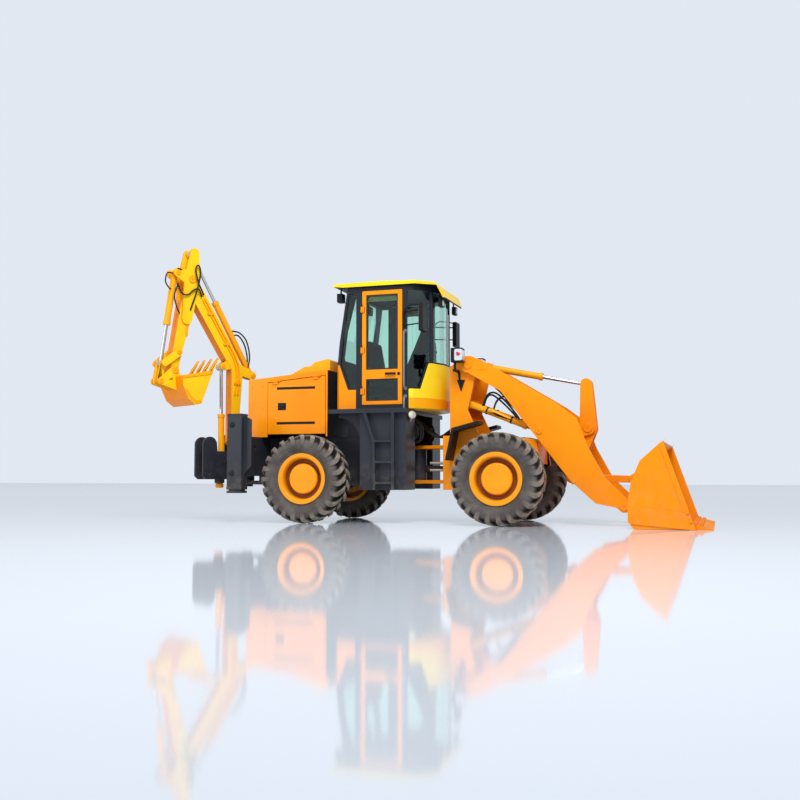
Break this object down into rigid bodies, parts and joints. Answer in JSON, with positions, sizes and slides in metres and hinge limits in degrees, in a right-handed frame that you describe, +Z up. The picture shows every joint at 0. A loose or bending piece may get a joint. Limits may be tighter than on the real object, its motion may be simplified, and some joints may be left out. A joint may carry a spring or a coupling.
{
  "type": "articulated backhoe loader",
  "caption": "Articulated backhoe loader with a cab between the axles, a wide front loader bucket on flat boomerang arms and a side-swung digging arm at the rear.",
  "frame": {"origin": "on the ground, straight below the pin that joins the two half frames, midway between the axles", "axes": "+X forward, +Y to the machine's left, +Z up"},
  "size_m": [7.3475, 2.5588, 3.8099],
  "materials": {
    "frame_dark": "satin",
    "axle_black": "matt",
    "orange": "gloss",
    "yellow": "gloss",
    "chrome_rod": "polished",
    "cab_dark": "satin",
    "window": "clear",
    "seat_black": "matt",
    "trim_black": "matt",
    "tyre": "matt, dusty",
    "rim_yellow": "gloss"
  },
  "bodies": {
    "rear_chassis": {"rear_frame": "frame_dark", "backhoe_carrier": "frame_dark", "rear_axle": "axle_black", "hood": "orange", "engine_block": "axle_black", "intake_cover": "yellow", "cab_frame": "cab_dark", "cab_roof": "yellow", "cab_cowl": "yellow", "cab_rear_panels": "orange", "cab_glass": "window", "seat": "seat_black", "steering_console": "trim_black", "platform": "frame_dark", "mirrors": "trim_black", "work_lamps": "trim_black"},
    "front_chassis": {"front_frame": "orange", "front_axle": "axle_black", "headlamps": "trim_black", "front_mudguards": "trim_black"},
    "wheel_front_right": {"tyre_front_right": "tyre", "rim_front_right": "rim_yellow"},
    "wheel_front_left": {"tyre_front_left": "tyre", "rim_front_left": "rim_yellow"},
    "wheel_rear_right": {"tyre_rear_right": "tyre", "rim_rear_right": "rim_yellow"},
    "wheel_rear_left": {"tyre_rear_left": "tyre", "rim_rear_left": "rim_yellow"},
    "cab_door_right": {"cab_door_right": "orange", "door_glass_right": "window"},
    "hood_door_right": {"hood_door_right": "orange"},
    "stabiliser_leg_right": {"stabiliser_leg_right": "frame_dark"},
    "cab_door_left": {"cab_door_left": "orange", "door_glass_left": "window"},
    "hood_door_left": {"hood_door_left": "orange"},
    "stabiliser_leg_left": {"stabiliser_leg_left": "frame_dark"},
    "loader_arms": {"loader_arms": "orange"},
    "loader_bucket": {"loader_bucket": "orange"},
    "loader_rocker": {"loader_rocker": "orange"},
    "loader_link": {"loader_link": "orange"},
    "tilt_barrel": {"tilt_barrel": "yellow"},
    "tilt_rod": {"tilt_rod": "chrome_rod"},
    "lift_barrels": {"lift_barrels": "yellow"},
    "lift_rods": {"lift_rods": "chrome_rod"},
    "swing_post": {"swing_post": "frame_dark"},
    "hoe_boom": {"hoe_boom": "yellow"},
    "hoe_stick": {"hoe_stick": "yellow"},
    "hoe_bucket": {"hoe_bucket": "yellow"},
    "hoe_lever": {"hoe_lever": "yellow"},
    "hoe_link": {"hoe_link": "yellow"},
    "boom_barrel": {"boom_barrel": "yellow"},
    "boom_rod": {"boom_rod": "chrome_rod"},
    "stick_barrel": {"stick_barrel": "yellow"},
    "stick_rod": {"stick_rod": "chrome_rod"},
    "curl_barrel": {"curl_barrel": "yellow"},
    "curl_rod": {"curl_rod": "chrome_rod"}
  },
  "joints": [
    {"name": "articulation", "type": "hinge", "parent": "rear_chassis", "child": "front_chassis", "pos_m": [0, 0, 0.78], "axis": [0, 0, 1], "range_deg": [-35, 35]},
    {"name": "wheel_front_right_spin", "type": "hinge", "parent": "front_chassis", "child": "wheel_front_right", "pos_m": [1.3, -0.88, 0.585], "axis": [0, 1, 0], "continuous": true},
    {"name": "wheel_front_left_spin", "type": "hinge", "parent": "front_chassis", "child": "wheel_front_left", "pos_m": [1.3, 0.88, 0.585], "axis": [0, 1, 0], "continuous": true},
    {"name": "wheel_rear_right_spin", "type": "hinge", "parent": "rear_chassis", "child": "wheel_rear_right", "pos_m": [-1.3, -0.88, 0.585], "axis": [0, 1, 0], "continuous": true},
    {"name": "wheel_rear_left_spin", "type": "hinge", "parent": "rear_chassis", "child": "wheel_rear_left", "pos_m": [-1.3, 0.88, 0.585], "axis": [0, 1, 0], "continuous": true},
    {"name": "cab_door_right_hinge", "type": "hinge", "parent": "rear_chassis", "child": "cab_door_right", "pos_m": [-0.582, -0.714, 2.3], "axis": [0, 0, -1], "range_deg": [0, 95]},
    {"name": "cab_door_left_hinge", "type": "hinge", "parent": "rear_chassis", "child": "cab_door_left", "pos_m": [-0.582, 0.714, 2.3], "axis": [0, 0, 1], "range_deg": [0, 95]},
    {"name": "hood_door_left_hinge", "type": "hinge", "parent": "rear_chassis", "child": "hood_door_left", "pos_m": [-1.677, 0.674, 1.93255], "axis": [0.9959, 0, 0.0908], "range_deg": [0, 75]},
    {"name": "hood_door_right_hinge", "type": "hinge", "parent": "rear_chassis", "child": "hood_door_right", "pos_m": [-1.677, -0.674, 1.93255], "axis": [-0.9959, 0, -0.0908], "range_deg": [0, 75]},
    {"name": "arm_lift", "type": "hinge", "parent": "front_chassis", "child": "loader_arms", "pos_m": [0.82, 0, 2.08], "axis": [0, -1, 0], "range_deg": [0, 72]},
    {"name": "bucket_tilt", "type": "hinge", "parent": "loader_arms", "child": "loader_bucket", "pos_m": [2.8, 0, 0.25], "axis": [0, -1, 0], "range_deg": [-90, 35]},
    {"name": "rocker_turn", "type": "hinge", "parent": "loader_arms", "child": "loader_rocker", "pos_m": [2.32, 0, 1.24], "axis": [0, -1, 0], "range_deg": [-11.35, 28.4]},
    {"name": "link_turn", "type": "hinge", "parent": "loader_bucket", "child": "loader_link", "pos_m": [2.88, 0, 0.58], "axis": [0, -1, 0], "range_deg": [-29.2, 74.3]},
    {"name": "lift_barrel_turn", "type": "hinge", "parent": "front_chassis", "child": "lift_barrels", "pos_m": [0.73, 0, 1.6], "axis": [0, -1, 0], "range_deg": [-0.5, 65.23]},
    {"name": "lift_rod_slide", "type": "slide", "parent": "lift_barrels", "child": "lift_rods", "axis": [0.93, 0, -0.3675], "range_m": [-0.003, 0.5802]},
    {"name": "tilt_barrel_turn", "type": "hinge", "parent": "front_chassis", "child": "tilt_barrel", "pos_m": [1, 0, 2.08], "axis": [0, -1, 0], "range_deg": [-0.5, 80.69]},
    {"name": "tilt_rod_slide", "type": "slide", "parent": "tilt_barrel", "child": "tilt_rod", "axis": [0.9798, 0, -0.1997], "range_m": [-0.003, 0.079]},
    {"name": "swing_turn", "type": "hinge", "parent": "rear_chassis", "child": "swing_post", "pos_m": [-2.6, 0, 0.745], "axis": [0, 0, 1], "range_deg": [-150, 30]},
    {"name": "boom_lift", "type": "hinge", "parent": "swing_post", "child": "hoe_boom", "pos_m": [-2.735, -0.23383, 1.12], "axis": [0.866, -0.5, 0], "range_deg": [-5, 105]},
    {"name": "boom_barrel_turn", "type": "hinge", "parent": "swing_post", "child": "boom_barrel", "pos_m": [-2.8225, -0.38538, 0.8], "axis": [0.866, -0.5, 0], "range_deg": [-5, 95.09]},
    {"name": "boom_rod_slide", "type": "slide", "parent": "boom_barrel", "child": "boom_rod", "axis": [-0.0091, -0.0157, 0.9998], "range_m": [-0.6013, 0.0315]},
    {"name": "stick_turn", "type": "hinge", "parent": "hoe_boom", "child": "hoe_stick", "pos_m": [-3.11, -0.88335, 3.36], "axis": [-0.866, 0.5, 0], "range_deg": [-8, 95]},
    {"name": "stick_barrel_turn", "type": "hinge", "parent": "hoe_boom", "child": "stick_barrel", "pos_m": [-2.585, 0.02598, 2.08], "axis": [-0.866, 0.5, 0], "range_deg": [-0.95, 5.8]},
    {"name": "stick_rod_slide", "type": "slide", "parent": "stick_barrel", "child": "stick_rod", "axis": [-0.2599, -0.4501, 0.8543], "range_m": [-0.5634, 0.0502]},
    {"name": "hoe_curl", "type": "hinge", "parent": "hoe_stick", "child": "hoe_bucket", "pos_m": [-3.2315, -1.09379, 2.07], "axis": [-0.866, 0.5, 0], "range_deg": [-15, 110]},
    {"name": "lever_turn", "type": "hinge", "parent": "hoe_stick", "child": "hoe_lever", "pos_m": [-3.21, -1.05655, 2.32], "axis": [-0.866, 0.5, 0], "range_deg": [-15.5, 110.5]},
    {"name": "hoe_link_turn", "type": "hinge", "parent": "hoe_bucket", "child": "hoe_link", "pos_m": [-3.336, -1.27479, 1.908], "axis": [-0.866, 0.5, 0], "range_deg": [-110.5, 15.5]},
    {"name": "curl_barrel_turn", "type": "hinge", "parent": "hoe_stick", "child": "curl_barrel", "pos_m": [-3.22, -1.07387, 3.43], "axis": [-0.866, 0.5, 0], "range_deg": [-0.53, 0.73]},
    {"name": "curl_rod_slide", "type": "slide", "parent": "curl_barrel", "child": "curl_rod", "axis": [-0.0735, -0.1273, -0.9891], "range_m": [-0.453, 0.0644]},
    {"name": "stabiliser_right_slide", "type": "slide", "parent": "rear_chassis", "child": "stabiliser_leg_right", "axis": [0, 0, -1], "range_m": [0, 0.395]},
    {"name": "stabiliser_left_slide", "type": "slide", "parent": "rear_chassis", "child": "stabiliser_leg_left", "axis": [0, 0, -1], "range_m": [0, 0.395]}
  ],
  "couplings": [
    {"joint": "rocker_turn", "follows": "bucket_tilt", "ratio": -0.31},
    {"joint": "link_turn", "follows": "bucket_tilt", "ratio": -0.82},
    {"joint": "lift_barrel_turn", "follows": "arm_lift", "ratio": 0.899},
    {"joint": "lift_rod_slide", "follows": "arm_lift", "m_per_rad": 0.4593},
    {"joint": "tilt_barrel_turn", "follows": "arm_lift", "ratio": 1.1137},
    {"joint": "tilt_rod_slide", "follows": "arm_lift", "m_per_rad": 0.0605},
    {"joint": "boom_barrel_turn", "follows": "boom_lift", "ratio": 0.9009},
    {"joint": "boom_rod_slide", "follows": "boom_lift", "m_per_rad": -0.3265},
    {"joint": "stick_barrel_turn", "follows": "stick_turn", "ratio": 0.0558},
    {"joint": "stick_rod_slide", "follows": "stick_turn", "m_per_rad": -0.338},
    {"joint": "lever_turn", "follows": "hoe_curl", "ratio": 1},
    {"joint": "hoe_link_turn", "follows": "hoe_curl", "ratio": -1},
    {"joint": "curl_barrel_turn", "follows": "hoe_curl", "ratio": 0.0021},
    {"joint": "curl_rod_slide", "follows": "hoe_curl", "m_per_rad": -0.2344}
  ]
}
